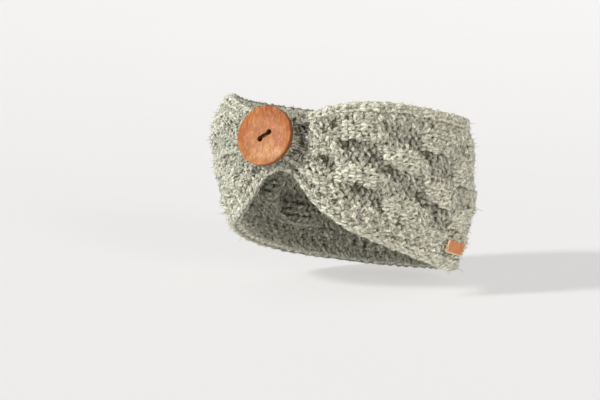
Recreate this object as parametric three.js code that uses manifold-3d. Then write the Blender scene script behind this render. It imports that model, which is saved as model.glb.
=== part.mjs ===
// Knitted ear warmer headband, gathered at the front behind a wooden button.
// Millimetres. +Z is up, -Y is the wearer's front and +X the wearer's left.
// The origin is the middle of the opening that the head goes in.
import * as THREE from 'three';
import { ParametricGeometry } from 'three/addons/geometries/ParametricGeometry.js';
import { mergeVertices } from 'three/addons/utils/BufferGeometryUtils.js';
import Module from 'manifold-3d';

const wasm = await Module();
wasm.setup();

// Opening for the head
const openingSide = 78.5;     // from the origin to the inside of the band over an ear
const openingFront = 87;      // from the origin to the inside of the band at the forehead
const openingBack = 89;       // from the origin to the inside of the band at the nape

// Knit
const wall = 8;               // thickness of the knit
const bandWidth = 104;        // height of the band where it lies flat
const pinchWidth = 38;        // height of the band where it is gathered
const borderWidth = 19;       // plain border along the lower edge
const topBorderWidth = 9.5;   // plain border along the upper edge
const blockHeight = 19;       // one block of the basket pattern, measured up the band
const blockColumns = 18;      // blocks of the basket pattern round the head, an even number
const blockRise = 2.2;        // a block stands this much above its neighbours
const gatherDepth = 2.2;      // depth of the small pleats at the pinch
const gatherCount = 4;        // pleats across the pinch

// Button and its thread
const buttonDiameter = 38;
const buttonThickness = 4.6;
const buttonWeb = 3.6;        // thickness at the middle of the dish
const buttonRimWidth = 1.6;   // width of the rounded rim round the dish
const buttonEdgeRound = 1.2;  // round at the back edge
const buttonShare = 0.70;     // where up the pinch the middle of the button sits
const buttonDegrees = -0.5;   // round the band from the front
const buttonTilt = 17;        // degrees that the button's face looks up
const holeDiameter = 3.3;
const holeSpacing = 7.2;
const holeTurn = 39;          // degrees that the line of the holes rises towards the wearer's left
const threadDiameter = 1.9;
const dishRise = 0.1;         // how much the dish rises from its middle to the holes

// Tag
const tagLength = 29;
const tagHeight = 8;
const tagThickness = 1.4;
const tagDegrees = 94;        // round the band from the front
const tagEdgeDistance = 15.3; // from the lower edge to the middle of the tag

const seatGap = 0.35;         // air between touching pieces

const pleatReach = 34;        // degrees from the front where the small pleats have died away
const calmReach = 12;         // degrees from the front inside which the basket pattern is flat

// Mesh steps
const aroundSteps = 100;
const outerSteps = 19;
const innerSteps = 8;
const roundSteps = 4;
const buttonSides = 40;
const holeSides = 14;
const threadSides = 8;
const threadSteps = 22;
const tagSteps = 10;

// Sections of the band, in degrees round the head from the front towards the wearer's left.
// middle: height of the section's middle, a share of bandWidth.
// spread: 0 is as narrow as pinchWidth and 1 as wide as bandWidth.
// widest: where up the section the band stands out most, 0 at the lower edge and 1 at the upper.
// tuckTop, tuckBottom: how far each edge leans in, shares of bandWidth.
// swell: how much the gathered knit piles up outwards, a share of wall.
const sections = [
  { deg: -180, middle: -0.135, spread: 1.00, widest: 0.55, tuckTop: 0.048, tuckBottom: 0.106, swell: 0.00 },
  { deg: -150, middle: -0.101, spread: 1.02, widest: 0.55, tuckTop: 0.058, tuckBottom: 0.106, swell: 0.00 },
  { deg: -120, middle: -0.034, spread: 1.02, widest: 0.58, tuckTop: 0.077, tuckBottom: 0.115, swell: 0.00 },
  { deg: -90, middle: 0.053, spread: 0.955, widest: 0.62, tuckTop: 0.087, tuckBottom: 0.135, swell: 0.00 },
  { deg: -65, middle: 0.135, spread: 0.88, widest: 0.68, tuckTop: 0.106, tuckBottom: 0.135, swell: 0.00 },
  { deg: -45, middle: 0.183, spread: 0.76, widest: 0.70, tuckTop: 0.096, tuckBottom: 0.100, swell: 0.05 },
  { deg: -30, middle: 0.207, spread: 0.59, widest: 0.66, tuckTop: 0.067, tuckBottom: 0.077, swell: 0.15 },
  { deg: -15, middle: 0.250, spread: 0.31, widest: 0.52, tuckTop: 0.060, tuckBottom: 0.038, swell: 0.45 },
  { deg: -3, middle: 0.303, spread: 0.015, widest: 0.40, tuckTop: 0.058, tuckBottom: 0.015, swell: 0.60 },
  { deg: 9, middle: 0.306, spread: 0.01, widest: 0.40, tuckTop: 0.058, tuckBottom: 0.010, swell: 0.60 },
  { deg: 16, middle: 0.259, spread: 0.27, widest: 0.46, tuckTop: 0.052, tuckBottom: 0.019, swell: 0.45 },
  { deg: 30, middle: 0.202, spread: 0.61, widest: 0.50, tuckTop: 0.067, tuckBottom: 0.038, swell: 0.15 },
  { deg: 50, middle: 0.139, spread: 0.83, widest: 0.50, tuckTop: 0.077, tuckBottom: 0.087, swell: 0.05 },
  { deg: 75, middle: 0.048, spread: 0.94, widest: 0.50, tuckTop: 0.067, tuckBottom: 0.115, swell: 0.00 },
  { deg: 100, middle: -0.034, spread: 0.985, widest: 0.55, tuckTop: 0.048, tuckBottom: 0.125, swell: 0.00 },
  { deg: 125, middle: -0.082, spread: 0.985, widest: 0.55, tuckTop: 0.048, tuckBottom: 0.115, swell: 0.00 },
  { deg: 150, middle: -0.115, spread: 1.00, widest: 0.55, tuckTop: 0.048, tuckBottom: 0.106, swell: 0.00 },
];

// Folds that run out from the pinch. from and to are degrees round the head, fromUp and toUp are
// shares of the band's own height there, depth is a share of wall and half a share of bandWidth.
const folds = [
  { from: 12, fromUp: 0.66, to: 41, toUp: 0.30, depth: 0.42, half: 0.050 },
  { from: 34, fromUp: 0.36, to: 62, toUp: 0.12, depth: 0.20, half: 0.050 },
  { from: 27, fromUp: 0.86, to: 72, toUp: 0.32, depth: 0.30, half: 0.055 },
  { from: 62, fromUp: 0.42, to: 100, toUp: 0.14, depth: 0.18, half: 0.055 },
  { from: 48, fromUp: 0.88, to: 102, toUp: 0.44, depth: 0.20, half: 0.055 },
  { from: -10, fromUp: 0.36, to: -36, toUp: 0.16, depth: 0.30, half: 0.050 },
  { from: -12, fromUp: 0.72, to: -60, toUp: 0.50, depth: 0.28, half: 0.055 },
  { from: -38, fromUp: 0.46, to: -84, toUp: 0.24, depth: 0.20, half: 0.055 },
];

// Where the basket pattern has one of its hollows, measured round the head from the front
const hollowAlong = 58;

const woolMaterial = new THREE.MeshStandardMaterial({ color: 0xa6a394, roughness: 0.95, metalness: 0 });
const woodMaterial = new THREE.MeshStandardMaterial({ color: 0xc47f52, roughness: 0.45, metalness: 0 });
const threadMaterial = new THREE.MeshStandardMaterial({ color: 0x2c1a12, roughness: 0.8, metalness: 0 });
const leatherMaterial = new THREE.MeshStandardMaterial({ color: 0xbd7c4a, roughness: 0.6, metalness: 0 });

const radians = THREE.MathUtils.degToRad;
const smooth = THREE.MathUtils.smoothstep;

// One column of the section table as a smooth curve that closes on itself
function sectionValue(name, deg) {
  const count = sections.length;
  const wrapped = THREE.MathUtils.euclideanModulo(deg + 180, 360) - 180;
  let low = count - 1;
  while (sections[low].deg > wrapped) low -= 1;
  const at = (k) => {
    const turn = Math.floor(k / count);
    const row = sections[THREE.MathUtils.euclideanModulo(k, count)];
    return { deg: row.deg + 360 * turn, value: row[name] };
  };
  const slope = (k) => {
    const before = at(k - 1);
    const here = at(k);
    const after = at(k + 1);
    const left = here.deg - before.deg;
    const right = after.deg - here.deg;
    const rise = (here.value - before.value) / left * right + (after.value - here.value) / right * left;
    return rise / (left + right);
  };
  const start = at(low);
  const end = at(low + 1);
  const span = end.deg - start.deg;
  const t = (wrapped - start.deg) / span;
  const bend = t * t * (3 - 2 * t);
  const startPull = t * (1 - t) * (1 - t) * span * slope(low);
  const endPull = t * t * (1 - t) * span * slope(low + 1);
  return start.value * (1 - bend) + end.value * bend + startPull - endPull;
}

// The section at one angle, with its lengths in mm
function sectionAt(deg) {
  const height = pinchWidth + (bandWidth - pinchWidth) * sectionValue('spread', deg);
  const middle = bandWidth * sectionValue('middle', deg);
  return {
    deg,
    height,
    bottom: middle - height / 2,
    widest: sectionValue('widest', deg),
    tuckTop: bandWidth * sectionValue('tuckTop', deg),
    tuckBottom: bandWidth * sectionValue('tuckBottom', deg),
    swell: wall * Math.max(0, sectionValue('swell', deg)),
  };
}

// A point of the outer ring, moved out by offset, at height z
function ringPoint(deg, offset, z) {
  const angle = radians(deg);
  const side = openingSide + wall;
  const along = (Math.cos(angle) > 0 ? openingFront : openingBack) + wall;
  const out = new THREE.Vector2(Math.sin(angle) / side, -Math.cos(angle) / along).normalize();
  const x = side * Math.sin(angle) + offset * out.x;
  const y = -along * Math.cos(angle) + offset * out.y;
  return new THREE.Vector3(x, y, z);
}

// Length of the ring from the front to an angle, negative towards the wearer's right
const ringLengths = measureRing();

function measureRing() {
  const lengths = [0];
  for (let deg = 1; deg <= 180; deg += 1) {
    const step = ringPoint(deg, 0, 0).distanceTo(ringPoint(deg - 1, 0, 0));
    lengths.push(lengths[deg - 1] + step);
  }
  return lengths;
}

function lengthAt(deg) {
  const wrapped = THREE.MathUtils.euclideanModulo(deg + 180, 360) - 180;
  const whole = Math.min(179, Math.floor(Math.abs(wrapped)));
  const part = Math.abs(wrapped) - whole;
  const length = ringLengths[whole] + (ringLengths[whole + 1] - ringLengths[whole]) * part;
  return Math.sign(wrapped) * length;
}

function degreesAt(length) {
  let whole = 0;
  while (whole < 179 && ringLengths[whole + 1] < Math.abs(length)) whole += 1;
  const step = ringLengths[whole + 1] - ringLengths[whole];
  return Math.sign(length) * (whole + (Math.abs(length) - ringLengths[whole]) / step);
}

// How far the section leans in at a share up its height
function lean(section, up) {
  const above = Math.max(0, (up - section.widest) / (1 - section.widest));
  const below = Math.max(0, (section.widest - up) / section.widest);
  return -section.tuckTop * above * above - section.tuckBottom * below * below;
}

// Raised and sunken blocks of the basket pattern, between the plain borders
function basketRelief(section, up) {
  const border = borderWidth / bandWidth;
  const topBorder = topBorderWidth / bandWidth;
  const hollowUp = border + 0.5 * blockHeight / bandWidth;
  const blockLength = 2 * ringLengths[180] / blockColumns;
  const inside = smooth(up, border * 0.8, border * 1.5) * (1 - smooth(up, 1 - topBorder * 2, 1 - topBorder * 0.8));
  const open = smooth(Math.abs(section.deg), calmReach, pleatReach);
  const along = Math.cos(Math.PI * (lengthAt(section.deg) - hollowAlong) / blockLength);
  const upward = Math.cos(Math.PI * (up - hollowUp) * bandWidth / blockHeight);
  return -0.5 * blockRise * (1 + along * upward) * inside * open;
}

// The folds that run out from the pinch
function foldRelief(section, up) {
  let dent = 0;
  for (const fold of folds) {
    const t = (section.deg - fold.from) / (fold.to - fold.from);
    if (t <= 0 || t >= 1) continue;
    const centre = fold.fromUp + (fold.toUp - fold.fromUp) * t;
    const across = (up - centre) * section.height / (fold.half * bandWidth);
    dent += fold.depth * wall * Math.sin(Math.PI * t) * Math.exp(-across * across);
  }
  return -dent;
}

// Small pleats that run round the head at the pinch
function gatherRelief(section, up) {
  const near = 1 - smooth(Math.abs(section.deg), 0.3 * pleatReach, pleatReach);
  return -0.5 * gatherDepth * near * (1 - Math.cos(2 * Math.PI * gatherCount * up));
}

// Offset of the outer face from the ring
function outerOffset(section, up) {
  const edge = smooth(up, 0, 0.1) * (1 - smooth(up, 0.9, 1));
  const relief = basketRelief(section, up) + foldRelief(section, up) + gatherRelief(section, up);
  const pile = section.swell * Math.sin(Math.PI * up) ** 0.7;
  return lean(section, up) + pile + relief * edge;
}

// A point of the outer face, up from 0 at the lower edge to 1 at the upper
function outerPoint(deg, up) {
  const section = sectionAt(deg);
  const round = wall / 2;
  const z = section.bottom + round + (section.height - wall) * up;
  return ringPoint(deg, outerOffset(section, up), z);
}

function outerNormal(deg, up) {
  const step = 0.004;
  const along = outerPoint(deg + 100 * step, up).sub(outerPoint(deg - 100 * step, up));
  const upward = outerPoint(deg, up + step).sub(outerPoint(deg, up - step));
  return along.cross(upward).normalize();
}

// Point number k of the closed section: up the outer face, over the top, down the inside and round
function sectionPoint(deg, k) {
  const section = sectionAt(deg);
  const round = wall / 2;
  const flat = section.height - wall;
  if (k < outerSteps) {
    return outerPoint(deg, k / outerSteps);
  }
  const overTop = k - outerSteps;
  if (overTop < roundSteps) {
    const angle = Math.PI * overTop / roundSteps;
    const offset = lean(section, 1) - round + round * Math.cos(angle);
    return ringPoint(deg, offset, section.bottom + round + flat + round * Math.sin(angle));
  }
  const down = overTop - roundSteps;
  if (down < innerSteps) {
    const up = 1 - down / innerSteps;
    return ringPoint(deg, lean(section, up) - wall, section.bottom + round + flat * up);
  }
  const angle = Math.PI * (down - innerSteps) / roundSteps;
  const offset = lean(section, 0) - round - round * Math.cos(angle);
  return ringPoint(deg, offset, section.bottom + round - round * Math.sin(angle));
}

// A closed mesh with its shared vertices merged and no flat triangles
function closedMesh(geometry) {
  geometry.deleteAttribute('normal');
  geometry.deleteAttribute('uv');
  const merged = mergeVertices(geometry, 1e-4);
  const index = merged.index.array;
  const kept = [];
  for (let i = 0; i < index.length; i += 3) {
    const [a, b, c] = [index[i], index[i + 1], index[i + 2]];
    if (a !== b && b !== c && c !== a) kept.push(a, b, c);
  }
  merged.setIndex(kept);
  return merged;
}

function toSolid(geometry) {
  const merged = closedMesh(geometry);
  return new wasm.Manifold(new wasm.Mesh({
    numProp: 3,
    vertProperties: new Float32Array(merged.attributes.position.array),
    triVerts: new Uint32Array(merged.index.array),
  }));
}

function toGeometry(solid) {
  const mesh = solid.getMesh();
  const geometry = new THREE.BufferGeometry();
  geometry.setAttribute('position', new THREE.BufferAttribute(new Float32Array(mesh.vertProperties), 3));
  geometry.setIndex(Array.from(mesh.triVerts));
  return geometry;
}

function namedMesh(name, geometry, material) {
  geometry.computeVertexNormals();
  const mesh = new THREE.Mesh(geometry, material);
  mesh.name = name;
  return mesh;
}

// The knitted loop. Its steps are closer together at the front, where the folds are.
function makeBand() {
  const around = outerSteps + innerSteps + 2 * roundSteps;
  const crowding = 0.35;
  const place = (u, v, target) => {
    const turn = 2 * Math.PI * (u % 1);
    const deg = THREE.MathUtils.radToDeg(turn - crowding * Math.sin(turn));
    target.copy(sectionPoint(deg, Math.round(v * around) % around));
  };
  const geometry = new ParametricGeometry(place, aroundSteps, around);
  return namedMesh('band', closedMesh(geometry), woolMaterial);
}

// The button stands on its back at local z 0, with the front towards +Z
function buttonProfile() {
  const radius = buttonDiameter / 2;
  const rimMiddle = radius - buttonRimWidth / 2;
  const rimRound = buttonRimWidth / 2;
  const profile = new THREE.Path();
  profile.moveTo(0, 0);
  profile.lineTo(radius - buttonEdgeRound, 0);
  profile.absarc(radius - buttonEdgeRound, buttonEdgeRound, buttonEdgeRound, -Math.PI / 2, 0, false);
  profile.lineTo(radius, buttonThickness - rimRound);
  profile.absarc(rimMiddle, buttonThickness - rimRound, rimRound, 0, Math.PI * 0.8, false);
  profile.quadraticCurveTo(radius * 0.72, buttonWeb, 0, buttonWeb);
  return profile.getPoints(3);
}

function drilledButton() {
  const lathe = new THREE.LatheGeometry(buttonProfile(), buttonSides);
  lathe.rotateX(Math.PI / 2);
  let solid = toSolid(lathe);
  for (const side of [-1, 1]) {
    const drill = new THREE.CylinderGeometry(holeDiameter / 2, holeDiameter / 2, 4 * buttonThickness, holeSides);
    drill.rotateX(Math.PI / 2);
    drill.translate(side * holeSpacing / 2, 0, 0);
    solid = solid.subtract(toSolid(drill));
  }
  return toGeometry(solid);
}

// The strand goes up one hole, across the dish and down the other
function threadGeometry() {
  const half = holeSpacing / 2;
  const radius = threadDiameter / 2;
  const top = buttonWeb + seatGap + radius + dishRise;
  const corner = threadDiameter;
  const path = new THREE.CurvePath();
  const at = (x, z) => new THREE.Vector3(x, 0, z);
  path.add(new THREE.LineCurve3(at(-half, 0), at(-half, top - corner)));
  path.add(new THREE.QuadraticBezierCurve3(at(-half, top - corner), at(-half, top), at(corner - half, top)));
  path.add(new THREE.LineCurve3(at(corner - half, top), at(half - corner, top)));
  path.add(new THREE.QuadraticBezierCurve3(at(half - corner, top), at(half, top), at(half, top - corner)));
  path.add(new THREE.LineCurve3(at(half, top - corner), at(half, 0)));
  const shape = new THREE.Shape();
  for (let k = 0; k < threadSides; k += 1) {
    const angle = 2 * Math.PI * k / threadSides;
    const point = [radius * Math.cos(angle), radius * Math.sin(angle)];
    if (k === 0) shape.moveTo(...point);
    else shape.lineTo(...point);
  }
  shape.closePath();
  return closedMesh(new THREE.ExtrudeGeometry(shape, { steps: threadSteps, bevelEnabled: false, extrudePath: path }));
}

// The button and its thread share one frame, laid against the knit at the pinch
function makeFastening() {
  const group = new THREE.Group();
  group.rotation.x = radians(90 - buttonTilt);
  const out = new THREE.Vector3(0, 0, 1).applyEuler(group.rotation);
  const base = outerPoint(buttonDegrees, buttonShare);
  group.position.copy(base).addScaledVector(out, seatHeight(base, out) + seatGap);
  const turn = new THREE.Group();
  turn.rotation.z = radians(holeTurn);
  turn.add(namedMesh('button', drilledButton(), woodMaterial));
  turn.add(namedMesh('button_thread', threadGeometry(), threadMaterial));
  group.add(turn);
  return group;
}

// How far the knit under the button stands above a plane through base
function seatHeight(base, out) {
  let highest = 0;
  const reach = buttonDiameter / 2 + 2;
  for (let deg = -20; deg <= 20; deg += 0.5) {
    for (let k = 0; k < outerSteps + roundSteps + 1; k += 0.5) {
      const point = k < outerSteps ? outerPoint(deg, k / outerSteps) : sectionPoint(deg, Math.floor(k));
      const from = point.sub(base);
      const rise = from.dot(out);
      const away = Math.sqrt(Math.max(0, from.lengthSq() - rise * rise));
      if (away < reach) highest = Math.max(highest, rise);
    }
  }
  return highest;
}

// The tag is a flat box bent onto the knit
function makeTag() {
  const box = new THREE.BoxGeometry(tagLength, tagHeight, tagThickness, tagSteps, tagSteps / 2, 1);
  const places = box.attributes.position;
  const tagMiddle = lengthAt(tagDegrees);
  for (let i = 0; i < places.count; i += 1) {
    const deg = degreesAt(tagMiddle + places.getX(i));
    const up = (tagEdgeDistance + places.getY(i) - wall / 2) / (sectionAt(deg).height - wall);
    const lift = seatGap + tagThickness / 2 + places.getZ(i);
    const point = outerPoint(deg, up).addScaledVector(outerNormal(deg, up), lift);
    places.setXYZ(i, point.x, point.y, point.z);
  }
  return namedMesh('leather_tag', closedMesh(box), leatherMaterial);
}

const headband = new THREE.Group();
headband.add(makeBand());
headband.add(makeFastening());
headband.add(makeTag());

export default headband;
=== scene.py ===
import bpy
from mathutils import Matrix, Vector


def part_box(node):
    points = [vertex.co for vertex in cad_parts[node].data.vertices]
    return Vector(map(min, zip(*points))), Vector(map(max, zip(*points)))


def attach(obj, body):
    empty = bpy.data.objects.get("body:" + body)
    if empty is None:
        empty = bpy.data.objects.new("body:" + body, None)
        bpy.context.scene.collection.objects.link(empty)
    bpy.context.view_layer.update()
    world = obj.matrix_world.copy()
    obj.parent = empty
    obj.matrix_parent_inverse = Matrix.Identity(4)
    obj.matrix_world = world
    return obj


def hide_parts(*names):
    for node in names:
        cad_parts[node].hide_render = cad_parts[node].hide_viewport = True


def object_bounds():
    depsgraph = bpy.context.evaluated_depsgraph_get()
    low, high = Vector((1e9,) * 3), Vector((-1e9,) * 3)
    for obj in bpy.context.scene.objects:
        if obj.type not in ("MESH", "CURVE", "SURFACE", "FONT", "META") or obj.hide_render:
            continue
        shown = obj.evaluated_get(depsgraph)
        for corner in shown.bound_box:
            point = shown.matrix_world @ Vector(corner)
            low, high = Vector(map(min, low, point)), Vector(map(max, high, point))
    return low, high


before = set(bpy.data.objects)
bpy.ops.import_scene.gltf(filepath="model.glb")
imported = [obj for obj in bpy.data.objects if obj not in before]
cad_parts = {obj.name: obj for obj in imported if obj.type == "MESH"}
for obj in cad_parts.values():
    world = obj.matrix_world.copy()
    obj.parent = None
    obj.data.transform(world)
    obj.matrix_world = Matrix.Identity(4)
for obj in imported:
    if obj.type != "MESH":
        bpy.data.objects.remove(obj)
cad_box = [list(corner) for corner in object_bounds()]

import math

import bpy
import numpy as np
from mathutils import Vector

# A knitted ear warmer band, gathered at the front behind a wooden button.
# Lengths are written in millimetres and turned into metres where meshes are made.
MM = 0.001
RNG = np.random.default_rng(7)

# Opening for the head and the knit round it
OPENING_SIDE = 78.5
OPENING_FRONT = 87.0
OPENING_BACK = 89.0
WALL = 8.0
BAND_WIDTH = 104.0
PINCH_WIDTH = 38.0
BORDER_WIDTH = 19.0
TOP_BORDER_WIDTH = 9.5

# Blocks, gathers and folds. A pair says where a soft step begins and where it ends.
BLOCK_HEIGHT = 19.0
BLOCK_COLUMNS = 18
BLOCK_RISE = 3.8
BLOCK_EDGE = (-0.35, 0.8)
BORDER_FADE = (0.8, 1.5)
TOP_BORDER_FADE = (2.0, 0.8)
GATHER_DEPTH = 2.2
GATHER_COUNT = 4
GATHER_FADE = 0.3
PILE_ROUND = 0.7
PLEAT_REACH = 34.0
CALM_REACH = 12.0
HOLLOW_ALONG = 58.0
FOLD_GAIN = 1.15
FOLD_BREAKS = 5.0
FOLD_ENDS = 0.6
FOLD_STEADY = 0.75
FOLD_WAVE = 0.35
LUMP_HEIGHT = 1.4
BUTTON_DIP = 6.0
BUTTON_DIP_ALONG = 17.5
BUTTON_DIP_HALF = 4.0
BUTTON_DIP_UP = (0.25, 0.55)

# Stitches: wales run round the head and courses run up the band
WALES = 17
BORDER_WALES = 3
BLOCK_WALES = 3
TOP_WALES = 2
BLOCK_COURSES = 7
COURSES = BLOCK_COLUMNS * BLOCK_COURSES
STITCH_POINTS = 14
YARN_RADIUS = 1.72
YARN_SIDES = 8
PLY_LOBE = 0.18
PLY_TURN = 13.0
YARN_ROUGH = 0.13
YARN_SWELL = 0.15
# How much the hollows of the blocks and folds darken the wool's colour, as painted shade
DENT_SHADE = 0.30
LOOP_REACH = 0.79
LOOP_NECK = 0.23
LOOP_DEPTH = 2.5
EDGE_ROOM = 1.9
KNIT_SECTORS = (32, 31, 32, 31)

# How much single stitches differ: reach, shift round the head in millimetres, neck, depth,
# place across in wales and lift in millimetres
STITCH_JITTER = (0.14, 0.45, 0.3, 0.25, 0.05, 0.25)

# The knit's slow unevenness: shifts round the head in millimetres and across in wales
SLOW_SHIFT = 0.45
SLOW_SHIFT_WALES = 0.10

# The chain along each edge
CHAIN_POINTS = 460
CHAIN_SIZE = 0.95
CHAIN_OUT = 0.05
CHAIN_APART = 1.35
CHAIN_WAVE = 0.35

# The dense middle of the knit
CORE_AROUND = 300
CORE_ACROSS = 44
CORE_THICKNESS = 2.8
CORE_INSET = 0.35
CORE_LUMPS = 0.5

# Loose fibres that stand off the yarn
FIBRES_PER_PIECE = 9700
FIBRE_LENGTH = 3.4
FIBRE_LENGTH_SPREAD = 0.35
FIBRE_WIDTH = 0.26
FIBRE_BEND = 0.9
FIBRE_SIDES = 3
FIBRE_POINTS = 2 * FIBRE_SIDES + 1

# Button, thread and tag
BUTTON_DIAMETER = 38.0
BUTTON_THICKNESS = 4.6
BUTTON_WEB = 3.6
BUTTON_TOP_ROUND = 0.8
BUTTON_EDGE_ROUND = 1.2
BUTTON_TILT = 17.0
# Heights over which the button's wood turns from lighter at the bottom to darker at the top, as
# painted shade
BUTTON_LOW = 26.0
BUTTON_HIGH = 52.0
HOLE_DIAMETER = 3.3
HOLE_EASE = 0.35
# How far beyond a hole's edge the painted shade of its wall reaches
HOLE_SHADE_MARGIN = 0.15
HOLE_SPACING = 7.2
HOLE_TURN = 39.0
THREAD_DIAMETER = 1.9
THREAD_SIDES = 10
TAG_LENGTH = 29.0
TAG_HEIGHT = 8.0
TAG_THICKNESS = 1.4
TAG_CORNER = 1.1
TAG_TOP_INSET = 0.45
TAG_BOTTOM_INSET = 0.35
TAG_EDGE_BULGE = 0.25
TAG_CURL = 0.5
TAG_WARP = 0.12
TAG_COLUMNS = 49
TAG_ROWS = 23
TAG_DEGREES = 94.0
TAG_EDGE_DISTANCE = 15.3
TAG_STITCH_RADIUS = 0.42
TAG_STITCH_REACH = 3.2
TAG_STITCH_SPREAD = 1.7
TAG_STITCH_INSET = 1.3
SEAT_GAP = 0.35

# Camera, at the photograph's angle
CAMERA_AZIMUTH = 30.0
CAMERA_ELEVATION = 6.0
CAMERA_DISTANCE = 1250.0
PIXELS_PER_MM = 1.496
FRAME_WIDTH = 600
FRAME_HEIGHT = 400
ORIGIN_PIXEL = (344.0, 185.0)
SENSOR_MM = 36.0

# Sections of the band in degrees round the head from the front. Lengths are shares of
# BAND_WIDTH, spread runs from PINCH_WIDTH at 0 to BAND_WIDTH at 1, and swell is a share of WALL.
SECTION_COLUMNS = ("deg", "middle", "spread", "widest", "tuck_top", "tuck_bottom", "swell")
SECTIONS = np.array([
    (-180, -0.135, 1.000, 0.55, 0.048, 0.106, 0.00),
    (-150, -0.101, 1.020, 0.55, 0.058, 0.106, 0.00),
    (-120, -0.034, 1.020, 0.58, 0.077, 0.115, 0.00),
    (-90, 0.053, 0.955, 0.62, 0.087, 0.135, 0.00),
    (-65, 0.135, 0.880, 0.68, 0.106, 0.135, 0.00),
    (-45, 0.183, 0.760, 0.70, 0.096, 0.100, 0.05),
    (-30, 0.207, 0.590, 0.66, 0.067, 0.077, 0.15),
    (-15, 0.250, 0.310, 0.52, 0.060, 0.038, 0.45),
    (-3, 0.303, 0.015, 0.40, 0.058, 0.015, 0.60),
    (9, 0.306, 0.010, 0.40, 0.058, 0.010, 0.60),
    (16, 0.259, 0.270, 0.46, 0.052, 0.019, 0.45),
    (30, 0.202, 0.610, 0.50, 0.067, 0.038, 0.15),
    (50, 0.139, 0.830, 0.50, 0.077, 0.087, 0.05),
    (75, 0.048, 0.940, 0.50, 0.067, 0.115, 0.00),
    (100, -0.034, 0.985, 0.55, 0.048, 0.125, 0.00),
    (125, -0.082, 0.985, 0.55, 0.048, 0.115, 0.00),
    (150, -0.115, 1.000, 0.55, 0.048, 0.106, 0.00),
])

# Folds that run out from the pinch. Each has its start in degrees and as a share of the height,
# its end in the same way, its depth as a share of WALL and its half width as one of BAND_WIDTH.
FOLDS = [
    (12, 0.64, 42, 0.28, 0.37, 0.036),
    (22, 1.00, 36, 0.62, 0.30, 0.050),
    (84, 0.21, 106, 0.20, 0.22, 0.022),
    (34, 0.36, 62, 0.12, 0.24, 0.040),
    (27, 0.76, 77, 0.28, 0.34, 0.036),
    (62, 0.42, 100, 0.14, 0.24, 0.040),
    (48, 0.88, 102, 0.44, 0.28, 0.040),
    (-10, 0.36, -36, 0.16, 0.30, 0.050),
    (-12, 0.72, -60, 0.50, 0.28, 0.055),
    (-38, 0.46, -84, 0.24, 0.20, 0.055),
]


# The band's form

def smooth_step(x, low, high):
    t = np.clip((x - low) / (high - low), 0, 1)
    return t * t * (3 - 2 * t)


def wrap_degrees(deg):
    return (deg + 180) % 360 - 180


def column(name, deg):
    """One column of the section table as a smooth curve that closes on itself."""
    k = SECTION_COLUMNS.index(name)
    knots = np.concatenate([SECTIONS[-2:, 0] - 360, SECTIONS[:, 0], SECTIONS[:3, 0] + 360])
    values = np.concatenate([SECTIONS[-2:, k], SECTIONS[:, k], SECTIONS[:3, k]])
    gaps = np.diff(knots)
    rise = np.diff(values) / gaps
    slopes = np.zeros(len(knots))
    slopes[1:-1] = (rise[:-1] * gaps[1:] + rise[1:] * gaps[:-1]) / (gaps[:-1] + gaps[1:])
    wrapped = wrap_degrees(deg)
    low = np.searchsorted(knots, wrapped, side="right") - 1
    span = gaps[low]
    t = (wrapped - knots[low]) / span
    bend = t * t * (3 - 2 * t)
    pull = t * (1 - t) ** 2 * span * slopes[low] - t * t * (1 - t) * span * slopes[low + 1]
    return values[low] * (1 - bend) + values[low + 1] * bend + pull


def ring_point(deg, offset, z):
    """A point of the outer ring, moved out by offset, at height z."""
    angle = np.radians(deg)
    side = OPENING_SIDE + WALL
    along = np.where(np.cos(angle) > 0, OPENING_FRONT, OPENING_BACK) + WALL
    out_x = np.sin(angle) / side
    out_y = -np.cos(angle) / along
    scale = offset / np.hypot(out_x, out_y)
    x = side * np.sin(angle) + scale * out_x
    y = -along * np.cos(angle) + scale * out_y
    return np.stack([x, y, z], -1)


def ring_lengths():
    degrees = np.linspace(0, 180, 361)
    points = ring_point(degrees, 0 * degrees, 0 * degrees)
    steps = np.linalg.norm(np.diff(points, axis=0), axis=1)
    return degrees, np.concatenate([[0], np.cumsum(steps)])


RING_DEGREES, RING_LENGTHS = ring_lengths()
HALF_RING = RING_LENGTHS[-1]
BLOCK_LENGTH = 2 * HALF_RING / BLOCK_COLUMNS
COURSE_PITCH = 2 * HALF_RING / COURSES


def length_at(deg):
    wrapped = wrap_degrees(deg)
    return np.sign(wrapped) * np.interp(np.abs(wrapped), RING_DEGREES, RING_LENGTHS)


def degrees_at(length):
    wrapped = (length + HALF_RING) % (2 * HALF_RING) - HALF_RING
    return np.sign(wrapped) * np.interp(np.abs(wrapped), RING_LENGTHS, RING_DEGREES)


def section_height(deg):
    return PINCH_WIDTH + (BAND_WIDTH - PINCH_WIDTH) * column("spread", deg)


def lean(deg, up):
    """How far the section leans in at a share up its height."""
    widest = column("widest", deg)
    above = np.maximum(0, (up - widest) / (1 - widest))
    below = np.maximum(0, (widest - up) / widest)
    top = BAND_WIDTH * column("tuck_top", deg)
    bottom = BAND_WIDTH * column("tuck_bottom", deg)
    return -top * above ** 2 - bottom * below ** 2


def basket_relief(deg, up):
    """Raised and sunken blocks between the plain borders."""
    border = BORDER_WIDTH / BAND_WIDTH
    top_border = TOP_BORDER_WIDTH / BAND_WIDTH
    hollow_up = border + 0.5 * BLOCK_HEIGHT / BAND_WIDTH
    inside = smooth_step(up, border * BORDER_FADE[0], border * BORDER_FADE[1])
    low, high = TOP_BORDER_FADE
    inside = inside * (1 - smooth_step(up, 1 - top_border * low, 1 - top_border * high))
    inside = inside * smooth_step(np.abs(wrap_degrees(deg)), CALM_REACH, PLEAT_REACH)
    along = np.cos(np.pi * (length_at(deg) - HOLLOW_ALONG) / BLOCK_LENGTH)
    upward = np.cos(np.pi * (up - hollow_up) * BAND_WIDTH / BLOCK_HEIGHT)
    return -BLOCK_RISE * smooth_step(along * upward, *BLOCK_EDGE) * inside


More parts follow.
